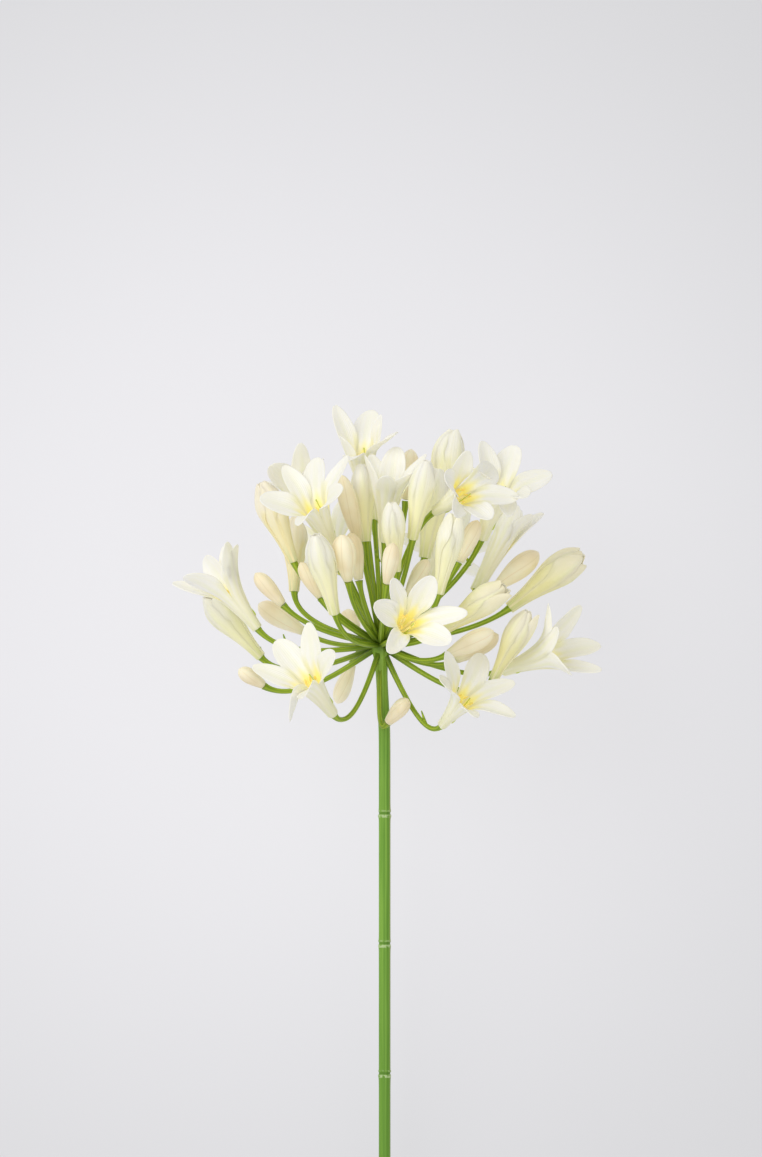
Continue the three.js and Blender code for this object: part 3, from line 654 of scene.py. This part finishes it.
def flat_tepal(shape, whorl):
    """A tepal laid flat: its length along Y, its inner face up, and its midrib sunk a little."""
    rows = tepal_rows(shape, whorl)
    bpy.ops.mesh.primitive_grid_add(x_subdivisions=TEPAL_COLUMNS, y_subdivisions=len(rows) - 1, size=2)
    tepal = bpy.context.object
    edit(True)
    stretch((1, APART * (len(rows) - 1) / 2, 1), (0, -1, 0))
    shift((0, 1, 0))
    for column in range(TEPAL_COLUMNS + 1):
        across = 2 * column / TEPAL_COLUMNS - 1
        pick(tepal, lambda spot: abs(spot.x - across) < 0.01)
        shift((0, 0, across**2 if across else -MIDRIB))
    for number, (length, wide, rise) in enumerate(rows):
        pick(tepal, lambda spot: abs(spot.y - number * APART) < APART / 2)
        shift((0, length - number * APART, 0))
        stretch((wide, 1, rise), (0, length, 0))
    edit(False)
    blade = tepal.vertex_groups.new(name="blade")
    for point in tepal.data.vertices:
        blade.add([point.index], smooth(point.co.y, shape["tube"] * 0.9, shape["tube"] + 12), "REPLACE")
    opens = shape["lean"][2] > 0
    for finish in (INSIDE, OPEN_OUTSIDE if opens else HALF_OUTSIDE):
        tepal.data.materials.append(finish)
    tepal.select_set(False)
    return tepal


def guide(shape, lift, turn, twist):
    """The curve that a flat tepal is bent along: away from the axis along +X, up the axis along +Y.

    The tube stays in line, and the blade turns round the axis.
    """
    curve = bpy.data.curves.new("guide", "CURVE")
    curve.dimensions = "3D"
    curve.twist_mode = "Z_UP"
    line = curve.splines.new("POLY")
    steps = 24
    line.points.add(steps)
    total = shape["tube"] + shape["blade"]
    below = -total / steps
    for step, point in enumerate(line.points):
        radius, height = spine(shape, total * step / steps, lift)
        round_axis = math.radians(turn) * smooth(step / steps, *TURN_SPAN)
        point.co = (radius * math.cos(round_axis), height, -radius * math.sin(round_axis), 1)
        point.radius = 1
        climb = (height - below) / (total / steps)
        point.tilt = round_axis * climb + math.radians(twist) * smooth(step / steps, *TWIST_SPAN)
        below = height
    return linked("guide", curve)


RIPPLE = bpy.data.textures.new("ripple", "CLOUDS")
RIPPLE.noise_scale = 9
RIPPLE_PLACE = linked("ripple place", None)


def bent_tepal(flat, shape, lift, turn, twist, long, ripple_at):
    """One tepal of a floret, waved, bent, turned and twisted, as a thin closed sheet."""
    tepal = copy_of(flat)
    bpy.context.view_layer.objects.active = tepal
    edit(True)
    pick(tepal, lambda spot: spot.y > shape["tube"])
    stretch((1, long, 1), (0, shape["tube"], 0))
    edit(False)
    RIPPLE_PLACE.location = ripple_at
    finish_with(tepal, "DISPLACE", texture=RIPPLE, texture_coords="OBJECT",
                texture_coords_object=RIPPLE_PLACE, direction="Z", strength=1.6, vertex_group="blade")
    bend = guide(shape, lift, turn, twist)
    finish_with(tepal, "CURVE", object=bend, deform_axis="POS_Y")
    bpy.data.curves.remove(bend.data)
    finish_with(tepal, "SOLIDIFY", thickness=TEPAL_THICKNESS, offset=0, material_offset=1,
                material_offset_rim=1)
    finish_with(tepal, "SUBSURF", levels=1, render_levels=1)
    return tepal


FLATS = {kind: [flat_tepal(shape, whorl) for whorl in (0, 1)] for kind, shape in SHAPES.items()}


def perianth(floret):
    """The six tepals of an open or half-open floret. The even ones stand outside."""
    shape = SHAPES[floret["kind"]]
    dice = random.Random(floret["node"])
    parts = []
    for number in range(TEPALS):
        lift, turn, twist = (floret.get(moves, (0,) * TEPALS)[number] + dice.uniform(-most, most)
                             for moves, most in CHANCE.items())
        long = floret.get("longs", (1,) * TEPALS)[number]
        spot = [dice.uniform(-200, 200) for _ in range(3)]
        tepal = bent_tepal(FLATS[floret["kind"]][number % 2], shape, lift, turn, twist, long, spot)
        angle = math.radians(floret.get("roll", 0) + SECTOR * number)
        out = shape["whorl"] * (1 if number % 2 == 0 else -1)
        tepal.rotation_euler = (math.pi / 2, 0, angle)
        tepal.location = (out * math.cos(angle), out * math.sin(angle), 0)
        parts.append(tepal)
    piece = joined(parts, floret["node"] + "_petals")
    if "skin" in floret:
        piece.data.materials[1] = SKINS[floret["skin"]]
    settle(piece, floret_place(floret))
    if "back" in floret["node"]:  # only these reach down to the table
        press(piece)
    return piece


# ---- buds ----
def bud(floret):
    """A closed bud: widest past its middle, with six sunk seams, a blunt tip and a slight twist."""
    length, radius = (value * floret.get("size", 1) for value in BUDS[floret["kind"]])
    dice = random.Random(floret["node"])
    segments, rings = 24, 14
    bpy.ops.mesh.primitive_uv_sphere_add(segments=segments, ring_count=rings, radius=1)
    piece = bpy.context.object
    edit(True)
    stretch((radius, radius, length / 2))
    shift((0, 0, length / 2))
    for ring in range(1, rings):
        share = (1 - math.cos(math.pi * ring / rings)) / 2
        if share < BUD_WIDEST:
            belly = mix(FOOT_RADIUS * 0.85, radius, math.sin(share / BUD_WIDEST * math.pi / 2) ** 1.2)
        else:
            belly = radius * math.sqrt(1 - ((share - BUD_WIDEST) / (1 - BUD_WIDEST)) ** 2.2)
        pick(piece, lambda spot: abs(spot.z - share * length) < 0.02)
        factor = belly / (radius * math.sin(math.pi * ring / rings))
        stretch((factor, factor, 1), (0, 0, share * length))
    for seam in range(TEPALS):
        angle = seam * math.pi / 3
        pick(piece, lambda spot: spot.to_2d().length > 0.5 * radius and on_ray(spot, angle, 0.05))
        stretch((BUD_SEAMS[seam % 2], BUD_SEAMS[seam % 2], 1))
    pick(piece, lambda spot: spot.z > length - 0.01)
    shift((0, 0, 0.4))
    edit(False)
    finish_with(piece, "SIMPLE_DEFORM", deform_method="TWIST", deform_axis="Z",
                angle=math.radians(dice.uniform(15, 40)))
    finish_with(piece, "SUBSURF", levels=1, render_levels=1)
    piece = joined([piece], floret["node"] + "_skin")
    piece.data.materials.append(BUD_SKIN)
    place = floret_place({**floret, "size": 1})
    settle(piece, place @ Matrix.Rotation(dice.uniform(0, math.pi), 4, "Z"))
    return piece


# ---- stamens ----
def turned(rows, sides):
    """A rod built up from a circle: rows of height and radius, closed at both ends."""
    (below, radius), *rest = rows
    bpy.ops.mesh.primitive_circle_add(vertices=sides, radius=radius, fill_type="NGON", location=(0, 0, 0))
    rod = bpy.context.object
    edit(True)
    shift((0, 0, below))
    for height, wide in rest:
        bpy.ops.mesh.extrude_region_move(TRANSFORM_OT_translate={"value": (0, 0, height - below)})
        stretch((wide / radius, wide / radius, 1), (0, 0, height))
        below, radius = height, wide
    bpy.ops.mesh.select_all(action="SELECT")
    bpy.ops.mesh.normals_make_consistent(inside=False)
    edit(False)
    return rod


def stamen():
    """A filament and the anther on it, upright from the origin."""
    filament = turned([(0, 0.5), (5, 0.5), (10, 0.5), (13.5, 0.4)], 8)
    filament.data.materials.append(FILAMENT)
    bpy.ops.mesh.primitive_uv_sphere_add(segments=10, ring_count=8, radius=1, location=(0, 0, 14.2))
    anther = bpy.context.object
    anther.scale = (0.6, 0.5, 1.5)
    anther.rotation_euler = (0.35, 0, 0)
    anther.data.materials.append(ANTHER)
    return joined([filament, anther], "stamen")


STAMEN = stamen()
PISTIL = joined([turned([(0, 0.9), (2.5, 1.1), (5, 0.9), (6.2, 0.4), (14, 0.32), (17, 0.3), (17.6, 0.5),
                         (18, 0.35)], 8)], "pistil")
PISTIL.data.materials.append(STYLE)


def threads(floret):
    """Six stamens round a pistil, from the bottom of the tube."""
    dice = random.Random(floret["node"] + "threads")
    parts = []
    for number in range(TEPALS):
        angle = math.radians(floret.get("roll", 0) + SECTOR * (number + 0.5) + dice.uniform(-12, 12))
        thread = copy_of(STAMEN)
        thread.scale = (1, 1, dice.uniform(0.75, 1))
        thread.location = (STAMEN_RING * math.cos(angle), STAMEN_RING * math.sin(angle), STAMEN_FOOT)
        lean = math.radians(dice.uniform(5, 12))
        thread.rotation_euler = (0, lean, angle)
        parts.append(thread)
    style = copy_of(PISTIL)
    style.location = (0, 0, PISTIL_FOOT)
    style.rotation_euler = (0.04, 0.05, 0)
    parts.append(style)
    piece = joined(parts, floret["node"] + "_threads")
    finish_with(piece, "SUBSURF", levels=1, render_levels=1)
    settle(piece, floret_place(floret))
    return piece


# ---- the green scape ----
def stem():
    """The stem and the hub: a turned rod with collars, then its grooves, the collars' bumps and its sway."""
    rows = [(-STEM_LENGTH, STEM_RADIUS), (0.2 - STEM_LENGTH, STEM_RADIUS)]  # close, for a sharp cut
    at = -STEM_LENGTH + 6
    while at < -10:
        rows.append((at, STEM_RADIUS))
        at += STEM_STEP
    collars = [COLLAR_FIRST + COLLAR_STEP * number for number in range(COLLAR_COUNT)]
    for collar in collars:
        rows += [(-collar + drop, STEM_RADIUS + rise) for drop, rise in COLLAR]
    rows += [(-8, STEM_RADIUS), (-3, HUB_RADIUS * 0.9), (0, HUB_RADIUS), (2.5, HUB_RADIUS * 0.8), (4, 1.5)]
    rows.sort()
    rod = turned(rows, STEM_SIDES)
    edit(True)
    for side, deep in STEM_GROOVES.items():
        angle = side * 2 * math.pi / STEM_SIDES
        pick(rod, lambda spot: on_ray(spot, angle, 0.05))
        stretch((deep, deep, 1))
    dice = random.Random("collars")
    for collar in collars:
        for drop in COLLAR_BUMPED:
            for angle in (dice.uniform(-math.pi, math.pi) for _ in range(COLLAR_BUMPS)):
                pick(rod, lambda spot: abs(spot.z + collar - drop) < 0.01 and on_ray(spot, angle, 0.25))
                stretch((BUMP_RISE, BUMP_RISE, 1), (0, 0, -collar + drop))
    for height, _ in rows:
        pick(rod, lambda spot: abs(spot.z - height) < 0.01)
        shift((STEM_SWAY * smooth(-height, *SWAY_SPAN), 0, 0))
    edit(False)
    rod.data.materials.append(STEM_GREEN)
    finish_with(rod, "SUBSURF", levels=1, render_levels=1)
    return rod


def profile_ring():
    """The ribbed cross-section of a pedicel."""
    spots = []
    for side in range(PEDICEL_SIDES):
        angle = side * 2 * math.pi / PEDICEL_SIDES
        radius = PEDICEL_RADIUS * PEDICEL_RIBS[side % 2]
        spots.append((radius * math.cos(angle), radius * math.sin(angle)))
    return poly_line("profile", spots, closed=True)


def flare_line():
    """How wide a pedicel is along its length."""
    widths = ((0, 1.1), (0.25, 0.95), (0.5, 0.86), (0.85, 0.88), (0.94, 1.05), (1, PEDICEL_FLARE))
    return poly_line("flare", widths)


def spike(start, bend_first, bend_last, end, share):
    """A small thorn-like scale on a pedicel, at a share of the curve from start to end."""
    first, middle, last = (a.lerp(b, share) for a, b in ((start, bend_first), (bend_first, bend_last),
                                                         (bend_last, end)))
    spot = first.lerp(middle, share).lerp(middle.lerp(last, share), share)
    bpy.ops.mesh.primitive_cone_add(vertices=10, radius1=0.8, radius2=0.25, depth=5.4, location=spot)
    thorn = bpy.context.object
    thorn.rotation_euler = (0, -0.3, 0)
    edit(True)
    shift((0, 0, 2.2))
    edit(False)
    thorn.data.materials.append(PEDICEL_GREEN)
    return thorn


def pedicel(floret, ring, flare):
    """A stalk that leaves the hub, bends, and comes into its floret's foot along the floret's axis."""
    axis = Vector(floret["aim"]).normalized()
    end = Vector(floret["base"]) - axis * SEAT_GAP
    before = end - axis * LAST_REACH * end.length + Vector(floret.get("bow", (0, 0, 0)))
    after = before * FIRST_REACH
    root = after.normalized() * HUB_RADIUS * PEDICEL_ROOT
    curve = bpy.data.curves.new("pedicel", "CURVE")
    curve.dimensions = "3D"
    curve.resolution_u = 22
    curve.bevel_mode = "OBJECT"
    curve.bevel_object = ring
    curve.taper_object = flare
    curve.use_fill_caps = True
    line = curve.splines.new("BEZIER")
    line.bezier_points.add(1)
    for point, spot, left, right in ((line.bezier_points[0], root, root * 2 - after, after),
                                     (line.bezier_points[1], end, before, end * 2 - before)):
        point.co = spot
        point.handle_left = left
        point.handle_right = right
    choose([linked("pedicel", curve)])
    bpy.ops.object.convert(target="MESH")
    stalk = bpy.context.object
    stalk.data.materials.append(PEDICEL_GREEN)
    if floret["node"] in SPIKES:
        return [stalk, spike(root, after, before, end, SPIKES[floret["node"]])]
    return [stalk]


def scape():
    """The stem with a pedicel for each floret, as one piece."""
    ring, flare = profile_ring(), flare_line()
    parts = [stem()]
    for floret in FLORETS:
        parts += pedicel(floret, ring, flare)
    bpy.data.curves.remove(ring.data)
    bpy.data.curves.remove(flare.data)
    piece = joined(parts, "scape_green")
    settle(piece, PLACE)
    return piece


# ---- the whole plant ----
for floret in FLORETS:
    if floret["kind"] in BUDS:
        dress(bud(floret), floret["node"])
    else:
        dress(perianth(floret), floret["node"])
    if floret["node"].startswith("bloom"):
        dress(threads(floret), floret["node"].replace("bloom", "stamens"))
dress(scape(), "scape")
for pair in FLATS.values():
    for flat in pair:
        bpy.data.objects.remove(flat)
for leftover in (STAMEN, PISTIL, RIPPLE_PLACE):
    bpy.data.objects.remove(leftover)


# ---- the table, the light and the camera ----
VIEW_HEIGHT = 26.6  # the middle of the view, over the hub
VIEW_SPAN = 462.8 * MM  # the height of the view at the plant
VIEW_DISTANCE = 3
SENSOR = 36
FRONT = PLACE.to_3x3() @ Vector((0, -1, 0)) / MM
UP = PLACE.to_3x3() @ Vector((0, 0, 1)) / MM
RIGHT = Vector((1, 0, 0))
AIM = PLACE @ Vector((0, 0, VIEW_HEIGHT))
TABLE_SIZE = 12
# The table's painted glow: bright under the umbel and dimming away from it.
TABLE_BRIGHT = (0.975, 0.965, 1)
TABLE_DIM = (0.72, 0.72, 0.735)
BRIGHT_SPOT = (-0.05, 0.138, 0)  # where the table is brightest
BRIGHT_REACH = (0.04, 0.38)  # how far from there it starts to dim, and is dim


def facing(spot, up):
    """A turn and place for a camera or light at the spot that looks at the umbel."""
    back = (spot - AIM).normalized()
    right = up.cross(back).normalized()
    turn = Matrix((right, back.cross(right), back)).transposed().to_4x4()
    return Matrix.Translation(spot) @ turn


def softbox(name, right, up, front, size, power):
    """A round soft light that faces the umbel, placed from its middle."""
    light = bpy.data.lights.new(name, "AREA")
    light.shape = "DISK"
    light.size = size
    light.energy = power
    linked(name, light).matrix_world = facing(AIM + RIGHT * right + UP * up + FRONT * front, UP)


def stage():
    """A table of pale paper that glows with painted light, brightest under the umbel, which fills in its
    shadows.
    """
    bpy.ops.mesh.primitive_plane_add(size=TABLE_SIZE)
    table = bpy.context.object
    table.name = "table"
    finish = Finish("glowing table paper", Roughness=0.9, Emission_Strength=0.68)
    finish.paint("Base Color", finish.blend((0.19, 0.19, 0.20), (0.17, 0.17, 0.18), finish.noise(3)))
    # Painted light: the table glows, most under the umbel, and so fills in the plant's shadow on it.
    dimmed = finish.away_from(BRIGHT_SPOT).within(*BRIGHT_REACH)
    finish.paint("Emission Color", finish.blend(TABLE_BRIGHT, TABLE_DIM, dimmed))
    table.data.materials.append(finish.material)


stage()
softbox("key", right=-1.4, up=1.1, front=1.9, size=2.2, power=31)
softbox("fill", right=1.3, up=0.3, front=2.0, size=2.4, power=6)
softbox("low fill", right=0.1, up=-1.4, front=2.0, size=2.4, power=11)
world = bpy.data.worlds.new("soft sky")
world.use_nodes = True
world.node_tree.nodes["Background"].inputs["Color"].default_value = (1, 0.99, 0.95, 1)
world.node_tree.nodes["Background"].inputs["Strength"].default_value = 0.5
bpy.context.scene.world = world
bpy.context.scene.view_settings.view_transform = "Standard"

camera = linked("camera", bpy.data.cameras.new("camera"))
camera.data.sensor_fit = "VERTICAL"
camera.data.sensor_height = SENSOR
camera.data.lens = SENSOR * VIEW_DISTANCE / VIEW_SPAN
camera.data.clip_end = 50
camera.matrix_world = facing(AIM + FRONT * VIEW_DISTANCE, UP)
bpy.context.scene.camera = camera
